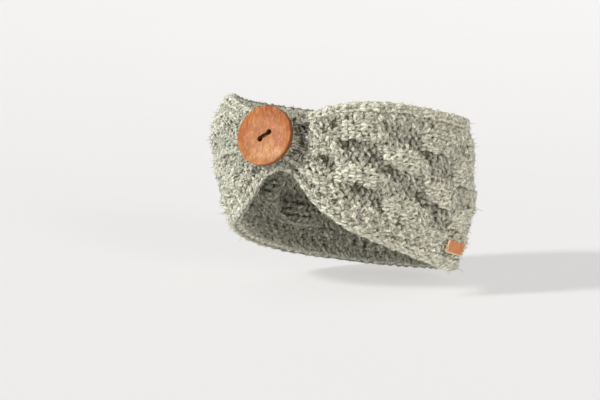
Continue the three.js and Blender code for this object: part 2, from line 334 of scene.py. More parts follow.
def fold_relief(deg, up):
    """The folds, each deeper and shallower along its way, and the dip beside the button."""
    wrapped = wrap_degrees(deg)
    dent = np.zeros(np.broadcast(deg, up).shape)
    for start, start_up, end, end_up, depth, half in FOLDS:
        t = np.clip((wrapped - start) / (end - start), 0, 1)
        centre = start_up + (end_up - start_up) * t
        across = (up - centre) * section_height(deg) / (half * BAND_WIDTH)
        wave = FOLD_STEADY + FOLD_WAVE * np.cos(FOLD_BREAKS * np.pi * t)
        broken = np.sin(np.pi * t) ** FOLD_ENDS * wave
        dent = dent + depth * WALL * broken * np.exp(-across ** 2)
    beside = (length_at(deg) - BUTTON_DIP_ALONG) / BUTTON_DIP_HALF
    dip = BUTTON_DIP * np.exp(-beside ** 2) * smooth_step(up, *BUTTON_DIP_UP)
    return -FOLD_GAIN * dent - dip


def gather_relief(deg, up):
    """Small pleats round the head where the band is gathered."""
    near = 1 - smooth_step(np.abs(wrap_degrees(deg)), GATHER_FADE * PLEAT_REACH, PLEAT_REACH)
    return -0.5 * GATHER_DEPTH * near * (1 - np.cos(2 * np.pi * GATHER_COUNT * up))


def edge_fade(up):
    """0 at the band's edges and 1 a tenth of its height further in."""
    return smooth_step(up, 0, 0.1) * (1 - smooth_step(up, 0.9, 1))


def outer_offset(deg, up):
    """How far the outer face stands off the ring."""
    relief = basket_relief(deg, up) + fold_relief(deg, up) + gather_relief(deg, up)
    arch = np.sin(np.pi * np.clip(up, 0, 1)) ** PILE_ROUND
    pile = WALL * np.maximum(0, column("swell", deg)) * arch
    return lean(deg, up) + pile + relief * edge_fade(up)


def outer_point(deg, up):
    """A point of the outer face, up from 0 at the lower edge to 1 at the upper."""
    height = section_height(deg)
    bottom = BAND_WIDTH * column("middle", deg) - height / 2
    z = bottom + WALL / 2 + (height - WALL) * up
    return ring_point(deg, outer_offset(deg, up), z)


def unit(vectors):
    return vectors / np.maximum(np.linalg.norm(vectors, axis=-1, keepdims=True), 1e-9)


def outer_normal(deg, up):
    turn = 0.8
    rise = 0.012
    along = outer_point(deg + turn, up) - outer_point(deg - turn, up)
    upward = outer_point(deg, up + rise) - outer_point(deg, up - rise)
    return unit(np.cross(along, upward))


# Meshes

def mesh_piece(name, points, faces, material, attributes=None):
    """A piece from points in millimetres. attributes are numbers kept on its points."""
    mesh = bpy.data.meshes.new(name)
    mesh.from_pydata((np.asarray(points) * MM).tolist(), [], faces)
    mesh.materials.append(material)
    for key, values in (attributes or {}).items():
        layer = mesh.attributes.new(key, "FLOAT", "POINT")
        layer.data.foreach_set("value", np.asarray(values, np.float32))
    mesh.shade_smooth()
    piece = bpy.data.objects.new(name, mesh)
    bpy.context.scene.collection.objects.link(piece)
    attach(piece, "root")
    return piece


def tube_faces(rings, sides, first=0):
    """Four-sided faces between rings, and a flat cap at each end."""
    a = np.arange(rings - 1)[:, None] * sides + np.arange(sides)[None, :]
    b = np.arange(rings - 1)[:, None] * sides + (np.arange(sides)[None, :] + 1) % sides
    quads = np.stack([a, b, b + sides, a + sides], -1).reshape(-1, 4) + first
    faces = quads.tolist()
    faces.append((np.arange(sides)[::-1] + first).tolist())
    faces.append((np.arange(sides) + first + (rings - 1) * sides).tolist())
    return faces


def loop_faces(rings, sides, first=0):
    """Four-sided faces of a tube whose ends meet."""
    a = np.arange(rings)[:, None] * sides + np.arange(sides)[None, :]
    b = np.arange(rings)[:, None] * sides + (np.arange(sides)[None, :] + 1) % sides
    size = rings * sides
    quads = np.stack([a, b, (b + sides) % size, (a + sides) % size], -1)
    return (quads.reshape(-1, 4) + first).tolist()


def turned(faces):
    """The same faces, seen from the other side."""
    return [[face[0], *face[:0:-1]] for face in faces]


def tube_frame(line, normals):
    """The directions beside and above a line that lies on a surface."""
    tangent = unit(np.gradient(line, axis=0))
    side = unit(np.cross(tangent, normals))
    return side, np.cross(side, tangent)


def arc_lengths(line):
    steps = np.linalg.norm(np.diff(line, axis=0), axis=1)
    return np.concatenate([[0], np.cumsum(steps)])


def ply_tube(line, normals, radius, sides, lobe, turn_length, rough=0.0, level=0.0, dent=0.0):
    """A two-ply strand: each ring has two lobes, and the rings turn along the line.

    level is the line's height in the knit and dent how deep the knit lies there. They only give the
    height mark, which the wool's colour turns into painted shade: darker deep in the knit and in its
    hollows.
    """
    side, above = tube_frame(line, normals)
    turn = 2 * np.pi * arc_lengths(line) / turn_length
    corner = 2 * np.pi * np.arange(sides) / sides
    angle = turn[:, None] + corner[None, :]
    reach = np.asarray(radius)[..., None] * (1 + lobe * np.cos(2 * corner))[None, :]
    reach = reach * (1 + rough * RNG.normal(0, 1, reach.shape))
    ring = np.cos(angle)[..., None] * side[:, None] + np.sin(angle)[..., None] * above[:, None]
    points = line[:, None] + reach[..., None] * ring
    whole = np.ones((len(line), 1))
    # Height mark for the painted shade: low where the yarn lies deep in the knit or in a hollow
    height = np.abs(np.broadcast_to(level, len(line))[:, None] + reach * np.sin(angle)) + dent
    marks = {
        "height": height.reshape(-1),
        "along": (arc_lengths(line)[:, None] * np.ones(sides)).reshape(-1),
        "round_x": (whole * np.cos(corner)).reshape(-1),
        "round_y": (whole * np.sin(corner)).reshape(-1),
        # 1 on the plies and 0 in the creases between them, where the wool's colour paints shade
        "ply": (whole * (0.5 + 0.5 * np.cos(2 * corner))).reshape(-1),
    }
    return points.reshape(-1, 3), marks


# Knit

def noise_waves(seed):
    """Five waves, the same each run: their pitch along and across, their start and their size."""
    waves = np.random.default_rng(seed).uniform(-1, 1, (5, 4))
    return waves * np.array([3.1, 3.1, 6, 0.4]) + np.array([0, 0, 0, 0.6])


def soft_noise(x, y, seed):
    """Smooth unevenness between about -1 and 1."""
    total = 0
    for along, across, begin, size in noise_waves(seed):
        total = total + size * np.sin(along * x + across * y + begin)
    return total / 3


def ring_noise(length, up, grain, seed):
    """The same waves, fitted so that they meet where the band closes on itself."""
    turn = np.pi * length / HALF_RING
    total = 0
    for along, across, begin, size in noise_waves(seed):
        turns = np.round(along * HALF_RING / np.pi / grain)
        total = total + size * np.sin(turns * turn + across * up + begin)
    return total / 3


def stitch_faces():
    """+1 where a stitch shows its knit side outside and -1 where it shows its purl side."""
    course = np.arange(COURSES)[:, None]
    wale = np.arange(WALES)[None, :]
    start = HOLLOW_ALONG - BLOCK_LENGTH / 2
    column_number = np.floor((course_length(course) - start) / BLOCK_LENGTH)
    row_number = (wale - BORDER_WALES) // BLOCK_WALES
    face = np.where((column_number + row_number) % 2 == 0, -1.0, 1.0)
    garter = np.where(course % 2 == 0, 1.0, -1.0)
    border = (wale < BORDER_WALES) | (wale >= WALES - TOP_WALES)
    chain = (wale == 0) | (wale == WALES - 1)
    return np.where(chain, 1.0, np.where(border, garter, face))


def course_length(course):
    return (course + 0.5) * 2 * HALF_RING / COURSES - HALF_RING


STITCH_FACES = stitch_faces()


def along_course(values, wale):
    """Values kept per stitch, read anywhere along a course with soft steps between."""
    whole = np.clip(np.floor(wale - 0.5), -1, WALES - 1).astype(int)
    part = smooth_step(wale - 0.5 - whole, 0.3, 0.7)
    low = np.clip(whole, 0, WALES - 1)
    high = np.clip(whole + 1, 0, WALES - 1)
    return values[low] * (1 - part) + values[high] * part


def course_line(course, jitter):
    """Length round the head, wale and depth of the yarn along one course."""
    t = np.linspace(0, 2 * np.pi * WALES, WALES * STITCH_POINTS + 1)
    wale = t / (2 * np.pi)
    here = along_course(STITCH_FACES[course], wale)
    after = along_course(STITCH_FACES[(course + 1) % COURSES], wale)
    head = 0.5 - 0.5 * np.cos(t)
    face = here + (after - here) * smooth_step(head, 0.3, 0.7)
    changes = [most * along_course(row, wale) for most, row in zip(STITCH_JITTER, jitter)]
    more_reach, shift, more_neck, more_depth, aside, raised = changes
    reach = LOOP_REACH * COURSE_PITCH * (1 + more_reach)
    neck = LOOP_NECK * (1 + more_neck)
    depth = LOOP_DEPTH * (1 + more_depth)
    length = course_length(course) - reach * np.cos(t) + shift
    across = wale + neck * np.sin(2 * t) + aside
    lift = -depth * np.cos(2 * t) * face + raised
    return length, across, lift


def edge_turn(course, at_top):
    """Points where the yarn turns from one course to the next at an edge."""
    angle = np.radians([45, 90, 135])
    middle = course_length(course + 0.5) - LOOP_REACH * COURSE_PITCH
    length = middle - 0.5 * COURSE_PITCH * np.cos(angle)
    bulge = 0.06 * np.sin(angle)
    across = WALES + bulge if at_top else -bulge
    return length, across, 0 * angle


def wale_share(wale, deg):
    """Share up the outer face at a wale, so that the edge yarn reaches the band's edges."""
    height = section_height(deg)
    z = EDGE_ROOM + (height - 2 * EDGE_ROOM) * wale / WALES
    return (z - WALL / 2) / (height - WALL)


def sector_line(first, last):
    """The yarn's centre line through some courses, as one strand that goes up and down."""
    lengths = []
    wales = []
    lifts = []
    for course in range(first, last):
        jitter = RNG.uniform(-1, 1, (len(STITCH_JITTER), WALES))
        length, across, lift = course_line(course, jitter)
        order = slice(None) if (course - first) % 2 == 0 else slice(None, None, -1)
        lengths.append(length[order])
        wales.append(across[order])
        lifts.append(lift[order])
        if course < last - 1:
            length, across, lift = edge_turn(course, (course - first) % 2 == 0)
            lengths.append(length)
            wales.append(across)
            lifts.append(lift)
    return np.concatenate(lengths), np.concatenate(wales), np.concatenate(lifts)


def knit_points(length, wale, lift):
    """Places on the knit, with the fabric's slow unevenness added, and how much painted shade its
    hollows get.
    """
    length = length + SLOW_SHIFT * ring_noise(length, wale / 2.2, 9, 11)
    wale = wale + SLOW_SHIFT_WALES * ring_noise(length, wale / 2, 7, 12)
    deg = degrees_at(length)
    up = wale_share(wale, deg)
    normal = outer_normal(deg, up)
    lump = LUMP_HEIGHT * ring_noise(length, wale / 1.1, 4.5, 13)
    relief = basket_relief(deg, up) + fold_relief(deg, up)
    # Painted shade: deeper hollows of the blocks and folds, and lower lumps, make the yarn's colour
    # darker
    dent = DENT_SHADE * edge_fade(up) * relief + 0.5 * lump
    points = outer_point(deg, up) + normal * (lift + lump - WALL / 2)[:, None]
    return points, normal, dent[:, None]


def yarn_radius(length):
    """The yarn is squeezed where the band is gathered."""
    pitch = (section_height(degrees_at(length)) - 2 * EDGE_ROOM) / WALES
    full = (BAND_WIDTH - 2 * EDGE_ROOM) / WALES
    return YARN_RADIUS * np.clip(pitch / full, 0.2, 1) ** 0.45


def make_knit(wool):
    """The yarn, in sectors round the head. Returns places for the loose fibres."""
    pieces = []
    roots = []
    first = 0
    for sector, count in enumerate(KNIT_SECTORS):
        length, wale, lift = sector_line(first, first + count)
        first += count
        line, normals, dent = knit_points(length, wale, lift)
        step = np.arange(len(line))
        radius = yarn_radius(length) * (1 + YARN_SWELL * soft_noise(step / 5, 0, 20 + sector))
        points, marks = ply_tube(
            line, normals, radius, YARN_SIDES, PLY_LOBE, PLY_TURN, YARN_ROUGH, lift, dent)
        marks["tint"] = np.repeat(soft_noise(step / 9, 3, 40 + sector), YARN_SIDES)
        faces = tube_faces(len(line), YARN_SIDES)
        piece = mesh_piece(f"knit_{sector + 1}", points, faces, wool, marks)
        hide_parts("band")
        pieces.append(piece)
        roots.append((line, normals, radius))
    return pieces, roots


def edge_strand(end, side):
    """One strand of the chain along an edge, which meets itself round the head."""
    length = np.linspace(-HALF_RING, HALF_RING, CHAIN_POINTS, endpoint=False)
    wave = 2 * np.pi * length / (2 * COURSE_PITCH) + side
    wale = end + (CHAIN_OUT if end else -CHAIN_OUT) + CHAIN_OUT * np.sin(wave)
    lift = side * (CHAIN_APART + CHAIN_WAVE * np.cos(wave))
    lift = lift + 0.2 * ring_noise(length, side, 5, 51)
    line, normals, dent = knit_points(length, wale, lift)
    radius = CHAIN_SIZE * yarn_radius(length)
    around = arc_lengths(np.concatenate([line, line[:1]]))[-1]
    turn = around / round(around / PLY_TURN)
    body, mark = ply_tube(
        line, normals, radius, YARN_SIDES, PLY_LOBE, turn, YARN_ROUGH, lift + side, dent)
    mark["tint"] = 0.3 * soft_noise(mark["along"] / 9, side, 52)
    return body, mark


def make_edges(wool):
    """The chain of the cast-on and cast-off edges: two strands side by side along each edge."""
    points = []
    faces = []
    marks = []
    for end in (0, WALES):
        for side in (-1, 1):
            body, mark = edge_strand(end, side)
            faces += loop_faces(CHAIN_POINTS, YARN_SIDES, len(points) * len(body))
            points.append(body)
            marks.append(mark)
    joined = {key: np.concatenate([mark[key] for mark in marks]) for key in marks[0]}
    piece = mesh_piece("knit_edges", np.concatenate(points), faces, wool, joined)
    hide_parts("band")
    return piece


def make_core(wool):
    """The dense middle of the knit; its dark colour is painted shade that shows between the
    stitches.
    """
    deg = np.linspace(-180, 180, CORE_AROUND, endpoint=False)
    wale = np.linspace(CORE_INSET, WALES - CORE_INSET, CORE_ACROSS)
    grid_deg, grid_wale = np.meshgrid(deg, wale, indexing="ij")
    up = wale_share(grid_wale, grid_deg)
    normal = outer_normal(grid_deg, up)
    middle = outer_point(grid_deg, up) - normal * WALL / 2
    length = length_at(grid_deg)
    lumps = CORE_LUMPS * ring_noise(length, 2.2 * grid_wale, 1.7, 14)[..., None]
    front = middle + normal * (CORE_THICKNESS / 2 + lumps)
    back = middle - normal * (CORE_THICKNESS / 2 - lumps)
    loop = np.concatenate([front, back[:, ::-1]], axis=1)
    faces = turned(loop_faces(CORE_AROUND, loop.shape[1]))
    piece = mesh_piece("knit_core", loop.reshape(-1, 3), faces, wool)
    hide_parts("band")


def fibre_points(root, out, along):
    """Closed three-sided spikes that bend once, with their roots in the yarn."""
    count = len(root)
    length = FIBRE_LENGTH * RNG.lognormal(0, FIBRE_LENGTH_SPREAD, count)[:, None]
    wander = unit(RNG.normal(0, 1, (count, 3)))
    first = unit(0.7 * out + wander + 0.4 * along * RNG.choice([-1, 1], count)[:, None])
    second = unit(first + FIBRE_BEND * unit(RNG.normal(0, 1, (count, 3))))
    middle = root + 0.5 * length * first
    tip = middle + 0.5 * length * second
    side = unit(np.cross(first, wander + 0.01))
    over = np.cross(first, side)
    width = FIBRE_WIDTH * RNG.uniform(0.7, 1.2, count)[:, None]
    rings = []
    for place, share in ((root, 1.0), (middle, 0.75)):
        for k in range(FIBRE_SIDES):
            angle = 2 * math.pi * k / FIBRE_SIDES
            corner = math.cos(angle) * side + math.sin(angle) * over
            rings.append(place + share * width / 2 * corner)
    rings.append(tip)
    return np.stack(rings, axis=1)


def fibre_faces(count):
    """Faces of all the fibres. Each has its root's ring, its bend's ring and its tip."""
    sides = FIBRE_SIDES
    pattern = [(2, 1, 0)]
    for k in range(sides):
        nxt = (k + 1) % sides
        pattern.append((k, nxt, nxt + sides))
        pattern.append((k, nxt + sides, k + sides))
        pattern.append((k + sides, nxt + sides, 2 * sides))
    firsts = FIBRE_POINTS * np.arange(count)[:, None, None]
    return (np.array(pattern)[None] + firsts).reshape(-1, 3).tolist()


def make_fuzz(roots, material):
    """Loose fibres round the yarn of each sector."""
    pieces = []
    for sector, (line, normals, radius) in enumerate(roots):
        tangent = unit(np.gradient(line, axis=0))
        pick = RNG.integers(2, len(line) - 2, FIBRES_PER_PIECE)
        angle = RNG.uniform(0, 2 * np.pi, len(pick))[:, None]
        side = unit(np.cross(tangent[pick], normals[pick]))
        out = unit(np.cos(angle) * side + (0.35 + np.sin(angle)) * normals[pick])
        root = line[pick] + 0.7 * radius[pick, None] * out
        points = fibre_points(root, out, tangent[pick]).reshape(-1, 3)
        marks = {"tone": np.repeat(RNG.uniform(0, 1, len(pick)), FIBRE_POINTS)}
        faces = fibre_faces(len(pick))
        piece = mesh_piece(f"fuzz_{sector + 1}", points, faces, material, marks)
        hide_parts("band")
        pieces.append(piece)
    return pieces


# Button

def button_frame():
    """Centre of the button's back and its three directions, from the CAD solid."""
    low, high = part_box("button")
    tilt = math.radians(BUTTON_TILT)
    turn = math.radians(HOLE_TURN)
    out = np.array([0, -math.cos(tilt), math.sin(tilt)])
    across = np.array([1.0, 0, 0])
    upward = np.cross(out, across)
    holes = math.cos(turn) * across + math.sin(turn) * upward
    centre = (np.array(low) + np.array(high)) / 2 / MM
    return centre - out * BUTTON_THICKNESS / 2, holes, np.cross(out, holes), out


def from_button(axes, local):
    """Places in the button's own directions turned into places on the part."""
    base, x_axis, y_axis, out = axes
    return base + local[..., :1] * x_axis + local[..., 1:2] * y_axis + local[..., 2:] * out


def arc(centre, radius, start, end, count):
    """Points of an arc between two angles in degrees."""
    angle = np.radians(np.linspace(start, end, count))
    return np.array(centre) + radius * np.stack([np.cos(angle), np.sin(angle)], -1)


def button_profile():
    """Radius and height of the button's half section, from the back's middle to the dish's."""
    radius = BUTTON_DIAMETER / 2
    back = np.array([(0.0, 0.0), (radius * 0.5, 0.0), (radius * 0.85, 0.0)])
    edge_centre = (radius - BUTTON_EDGE_ROUND, BUTTON_EDGE_ROUND)
    top_centre = (radius - BUTTON_TOP_ROUND, BUTTON_THICKNESS - BUTTON_TOP_ROUND)
    edge = arc(edge_centre, BUTTON_EDGE_ROUND, -90, 0, 7)
    top = arc(top_centre, BUTTON_TOP_ROUND, 0, 100, 9)
    reach = top[-1, 0] * np.linspace(1, 0, 22)[1:]
    rise = (top[-1, 1] - BUTTON_WEB) * (reach / top[-1, 0]) ** 6
    dish = np.stack([reach, BUTTON_WEB + rise], -1)
    return np.concatenate([back, edge, top, dish])


def lathe(profile, sides):
    """A closed body turned round the height axis, its ends on the axis."""
    angle = 2 * np.pi * np.arange(sides) / sides
    inner = profile[1:-1]
    x = inner[:, :1] * np.cos(angle)
    y = inner[:, :1] * np.sin(angle)
    z = np.broadcast_to(inner[:, 1:], x.shape)
    points = np.stack([x, y, z], -1).reshape(-1, 3)
    ends = np.array([(0, 0, profile[0, 1]), (0, 0, profile[-1, 1])])
    points = np.concatenate([points, ends])
    last = (len(inner) - 1) * sides
    bottom = last + sides
    faces = tube_faces(len(inner), sides)[:-2]
    for k in range(sides):
        nxt = (k + 1) % sides
        faces.append((bottom, nxt, k))
        faces.append((bottom + 1, last + k, last + nxt))
    return points, faces


def hole_cutter(axes, side):
    """A body that cuts one hole, wider at its mouth so that the edge is eased."""
    radius = HOLE_DIAMETER / 2
    wide = radius + HOLE_EASE
    top = BUTTON_WEB + 0.05
    beyond = 2
    profile = np.array([
        (0, -beyond), (wide, -beyond), (wide, 0), (radius, HOLE_EASE), (radius, top - HOLE_EASE),
        (radius + 0.1, top - 0.5 * HOLE_EASE), (wide, top), (radius + beyond, top + beyond),
        (0, top + beyond),
    ])
    points, faces = lathe(profile, 32)
    points = points + np.array([side * HOLE_SPACING / 2, 0, 0])
    mesh = bpy.data.meshes.new("hole_cutter")
    mesh.from_pydata((from_button(axes, points) * MM).tolist(), [], faces)
    cutter = bpy.data.objects.new("hole_cutter", mesh)
    bpy.context.scene.collection.objects.link(cutter)
    return cutter


def apply_modifiers(piece):
    """Gives the piece the mesh that its modifiers make of it."""
    graph = bpy.context.evaluated_depsgraph_get()
    mesh = bpy.data.meshes.new_from_object(piece.evaluated_get(graph))
    piece.modifiers.clear()
    piece.data = mesh


def paint_hole_shade(piece, axes):
    """Marks the walls of the holes for the same painted shade as the button's side."""
    base, along, across, _ = axes
    marks = piece.data.attributes["side"].data
    for vertex in piece.data.vertices:
        place = np.array(vertex.co) / MM - base
        beside = abs(place @ along) - HOLE_SPACING / 2
        if math.hypot(beside, place @ across) < HOLE_DIAMETER / 2 + HOLE_SHADE_MARGIN:
            marks[vertex.index].value = 1.0


def make_button(wood):
    """The turned disc with its two holes. Returns its centre and directions."""
    axes = button_frame()
    points, faces = lathe(button_profile(), 128)
    rim = np.hypot(points[:, 0], points[:, 1]) > BUTTON_DIAMETER / 2 - BUTTON_EDGE_ROUND
    # The side mark: painted shade on the button's side wall below its top edge
    marks = {"side": rim * np.clip((BUTTON_THICKNESS - 0.3 - points[:, 2]) / 0.5, 0, 1)}
    piece = mesh_piece("button_disc", from_button(axes, points), faces, wood, marks)
    cutters = [hole_cutter(axes, side) for side in (-1, 1)]
    for cutter in cutters:
        cut = piece.modifiers.new("hole", "BOOLEAN")
        cut.object = cutter
        cut.solver = "EXACT"
    apply_modifiers(piece)
    paint_hole_shade(piece, axes)
    for cutter in cutters:
        bpy.data.objects.remove(cutter)
    piece.data.shade_smooth()
    piece.data.set_sharp_from_angle(angle=math.radians(50))
    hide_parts("button")
    return axes


def bezier(points, share):
    """A smooth curve through control points, by repeated mixing."""
    level = [np.asarray(p, float)[None] for p in points]
    share = share[:, None]
    while len(level) > 1:
        level = [a * (1 - share) + b * share for a, b in zip(level, level[1:])]
    return level[0]


def make_thread(axes, material):
    """Two strands side by side up one hole, over the dish in a slight S and down the other."""
    half = HOLE_SPACING / 2
    outer = half + 0.3
    strand = THREAD_DIAMETER / 4.2
    top = BUTTON_WEB + strand
    points = []
    faces = []
    for shift in (-0.42, 0.42):
        control = [
            (-outer, shift, 0.2), (-outer, shift, top - 1.4), (-half, shift - 0.2, top + 0.5),
            (-half * 0.5, shift + 2.6, top + 0.9), (half * 0.5, shift - 2.6, top + 0.9),
            (half, shift + 0.2, top + 0.5), (outer, shift, top - 1.4), (outer, shift, 0.2),
        ]
        line = bezier(control, np.linspace(0, 1, 46))
        normals = np.broadcast_to(np.array([0.0, 1.0, 0.0]), line.shape)
        radius = np.full(len(line), strand)
        body, _ = ply_tube(line, normals, radius, THREAD_SIDES, 0.14, 3.2)
        faces += tube_faces(len(line), THREAD_SIDES, first=len(points) * len(body))
        points.append(body)
    body = from_button(axes, np.concatenate(points))
    piece = mesh_piece("button_cord", body, faces, material)
    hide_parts("button_thread")


# Tag

def tag_point(x, y, lift):
    """A point of the tag: x round the band, y up it and lift off the knit."""
    length = length_at(np.array(TAG_DEGREES)) + x
    deg = degrees_at(length)
    up = (TAG_EDGE_DISTANCE + y - WALL / 2) / (section_height(deg) - WALL)
    return outer_point(deg, up) + outer_normal(deg, up) * lift[..., None]


def round_corner(x, y, radius):
    """Moves the points near the corners of the tag's flat grid onto round corners."""
    edge_x = TAG_LENGTH / 2 - radius
    edge_y = TAG_HEIGHT / 2 - radius
    dx = np.clip((np.abs(x) - edge_x) / radius, 0, 1)
    dy = np.clip((np.abs(y) - edge_y) / radius, 0, 1)
    new_x = np.where(dx > 0, np.sign(x) * (edge_x + radius * dx * np.sqrt(1 - dy ** 2 / 2)), x)
    new_y = np.where(dy > 0, np.sign(y) * (edge_y + radius * dy * np.sqrt(1 - dx ** 2 / 2)), y)
    return new_x, new_y


def spread_out(size, count):
    """Values over a size, closer together towards its ends."""
    wave = np.sin(np.linspace(-0.5, 0.5, count) * np.pi * 0.9)
    return size / 2 * wave / math.sin(0.45 * math.pi)


def tag_grid():
    x = spread_out(TAG_LENGTH, TAG_COLUMNS)
    y = spread_out(TAG_HEIGHT, TAG_ROWS)
    grid_x, grid_y = np.meshgrid(x, y, indexing="ij")
    return round_corner(grid_x, grid_y, TAG_CORNER)


def border_loop(columns, rows):
    """Numbers of the grid's outer points in order."""
    index = np.arange(columns * rows).reshape(columns, rows)
    return np.concatenate([index[:-1, 0], index[-1, :-1], index[:0:-1, -1], index[0, :0:-1]])


def tag_layers(loop):
    """The tag's points: its top, its bottom, and two rows round its edge."""
    x, y = tag_grid()
    half_length = TAG_LENGTH / 2
    curl = TAG_CURL * (np.abs(x) / half_length) ** 6 + TAG_WARP * soft_noise(x / 5, y / 4, 31)
    top_lift = SEAT_GAP + TAG_THICKNESS + curl
    bottom_lift = SEAT_GAP + curl * 0.8
    shrink = 1 - TAG_TOP_INSET / (TAG_HEIGHT / 2)
    top_x = x * (1 - TAG_TOP_INSET / half_length) + 0.1
    bottom_x = x * (1 - TAG_BOTTOM_INSET / half_length)
    top = tag_point(top_x, y * shrink + 0.5, top_lift)
    rim = tag_point(x, y, (top_lift + bottom_lift) / 2 + TAG_EDGE_BULGE)
    low = tag_point(x, y, bottom_lift + TAG_EDGE_BULGE)
    bottom = tag_point(bottom_x, y * shrink, bottom_lift)
    top, bottom, rim, low = (layer.reshape(-1, 3) for layer in (top, bottom, rim, low))
    return np.concatenate([top, bottom, rim[loop], low[loop]])


def make_tag(leather):
    """The tag as one closed sheet, with a rounded edge between its top and its bottom."""
    rows = TAG_ROWS
    size = TAG_COLUMNS * rows
    loop = border_loop(TAG_COLUMNS, rows)
    count = len(loop)
    faces = []
    for i in range(TAG_COLUMNS - 1):
        for j in range(rows - 1):
            a = i * rows + j
            b = size + a
            faces.append((a, a + rows, a + rows + 1, a + 1))
            faces.append((b, b + 1, b + rows + 1, b + rows))
    levels = [loop, 2 * size + np.arange(count), 2 * size + count + np.arange(count), size + loop]
    for upper, lower in zip(levels, levels[1:]):
        for k in range(count):
            nxt = (k + 1) % count
            faces.append((int(upper[k]), int(lower[k]), int(lower[nxt]), int(upper[nxt])))
    edge = np.concatenate([np.zeros(2 * size), np.ones(2 * count)])
    edge[loop] = 0.7
    piece = mesh_piece("tag_leather", tag_layers(loop), faces, leather, {"edge": edge})
    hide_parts("leather_tag")


def make_tag_stitches(material):
    """Two pale stitches in a V at each end of the tag, from the leather into the knit."""
    points = []
    faces = []
    sides = 8
    share = np.linspace(0, 1, 15)
    arch = 0.35 * np.sin(np.pi * share)
    dive = 3.6 * share ** 5 + 1.6 * (1 - share) ** 8
    lift = SEAT_GAP + TAG_THICKNESS + 0.75 + arch - dive
    radius = np.full(len(share), TAG_STITCH_RADIUS)
    for end in (-1, 1):
        for spread in (-1, 1):
            x = end * (TAG_LENGTH / 2 - TAG_STITCH_INSET + TAG_STITCH_REACH * share)
            y = -1.3 + TAG_STITCH_SPREAD * spread * share
            line = tag_point(x, y, lift)
            normals = unit(line - np.array([0, 0, line[:, 2].mean()]))
            body, _ = ply_tube(line, normals, radius, sides, 0.15, 2.4)
            faces += tube_faces(len(line), sides, first=len(points) * len(body))
            points.append(body)
    mesh_piece("tag_stitches", np.concatenate(points), faces, material)


# Materials

WOOL_LIGHT = (0.735, 0.708, 0.590)
WOOL_GREY = (0.515, 0.522, 0.405)
WOOL_DARK = (0.10, 0.095, 0.052)
WOOL_PALE = (0.78, 0.77, 0.67)

# Larger marks in the button's wood, and a painted highlight: place and radius in millimetres,
# colour, strength
WOOD_MARKS_AND_HIGHLIGHT = [
    ((8.0, -104.0, 43.0), 8.5, (0.36, 0.095, 0.035), 0.85),
    ((11.5, -104.5, 35.0), 6.0, (0.42, 0.130, 0.060), 0.70),
    # Painted highlight: three pale spots make a crescent inside the rim, low on the right
    ((11.6, -105.5, 31.0), 3.4, (0.78, 0.50, 0.34), 0.55),
    ((9.0, -106.0, 28.4), 3.4, (0.80, 0.54, 0.38), 0.60),
    ((5.6, -106.5, 26.4), 3.0, (0.76, 0.48, 0.30), 0.50),
    ((-1.0, -106.0, 27.0), 10.0, (0.60, 0.310, 0.140), 0.60),
    ((-15.0, -103.0, 42.0), 7.0, (0.47, 0.150, 0.035), 0.65),
    ((4.0, -99.0, 55.0), 9.0, (0.28, 0.075, 0.024), 0.80),
    ((-5.0, -104.0, 46.0), 6.0, (0.52, 0.220, 0.080), 0.50),
]


class Paint:
    """A material in the making. Its methods add nodes and return their outputs."""

    def __init__(self, name, roughness, specular):
        self.material = bpy.data.materials.new(name)
        self.material.use_nodes = True
        self.nodes = self.material.node_tree.nodes
        self.links = self.material.node_tree.links
        self.shader = self.nodes["Principled BSDF"]
        self.setting("Roughness", roughness)
        self.setting("Specular IOR Level", specular)

    def setting(self, name, value):
        self.shader.inputs[name].default_value = value

    def node(self, kind, output, inputs, **settings):
        """A node of a kind. Its inputs are plain values or the outputs of other nodes."""
        made = self.nodes.new("ShaderNode" + kind)
        for key, value in settings.items():
            setattr(made, key, value)
        for key, value in inputs.items():
            if isinstance(value, bpy.types.NodeSocket):
                self.links.new(value, made.inputs[key])
            else:
                made.inputs[key].default_value = value
        return made.outputs[output]

    def coordinates(self):
        return self.node("TexCoord", "Object", {})

    def place(self, scale=(1, 1, 1)):
        """Places on the piece in metres, squeezed along the axes by a scale."""
        return self.node("Mapping", "Vector", {"Vector": self.coordinates(), "Scale": scale})

    def height(self):
        return self.node("SeparateXYZ", "Z", {"Vector": self.coordinates()})

    def attribute(self, name):
        return self.node("Attribute", "Fac", {}, attribute_name=name)

    def noise(self, vector, scale, detail, roughness=0.55):
        inputs = {"Vector": vector, "Scale": scale, "Detail": detail, "Roughness": roughness}
        return self.node("TexNoise", "Fac", inputs)

    def ranged(self, value, low, high, to_low=0.0, to_high=1.0):
        """Turns the values from low to high into values from to_low to to_high."""
        inputs = {"Value": value, "From Min": low, "From Max": high}
        inputs |= {"To Min": to_low, "To Max": to_high}
        return self.node("MapRange", "Result", inputs)

    def product(self, first, second):
        return self.node("Math", "Value", {0: first, 1: second}, operation="MULTIPLY")

    def mixed(self, share, first, second):
        """Mixes two colours. Each is three numbers or another node's output."""
        first, second = ((*c, 1.0) if isinstance(c, tuple) else c for c in (first, second))
        inputs = {"Factor": share, 6: first, 7: second}
        return self.node("Mix", 2, inputs, data_type="RGBA", blend_type="MIX")

    def shaded(self, colour, factor):
        """Makes a colour lighter or darker by a factor."""
        return self.node("VectorMath", "Vector", {0: colour, "Scale": factor}, operation="SCALE")

    def spot(self, place, radius, most):
        """Most at a place in millimetres, fading to 0 at the radius, with an uneven edge."""
        where = self.coordinates()
        centre = [value * MM for value in place]
        away = self.node("VectorMath", "Value", {0: where, 1: centre}, operation="DISTANCE")
        uneven = self.ranged(self.noise(where, 260, 3), 0, 1, 0.6, 1.4)
        return self.ranged(self.product(away, uneven), 0.35 * radius * MM, radius * MM, most, 0)

    def bump(self, height, strength, distance):
        inputs = {"Height": height, "Strength": strength, "Distance": distance}
        self.links.new(self.node("Bump", "Normal", inputs), self.shader.inputs["Normal"])

    def finish(self, colour):
        self.links.new(colour, self.shader.inputs["Base Color"])
        return self.material


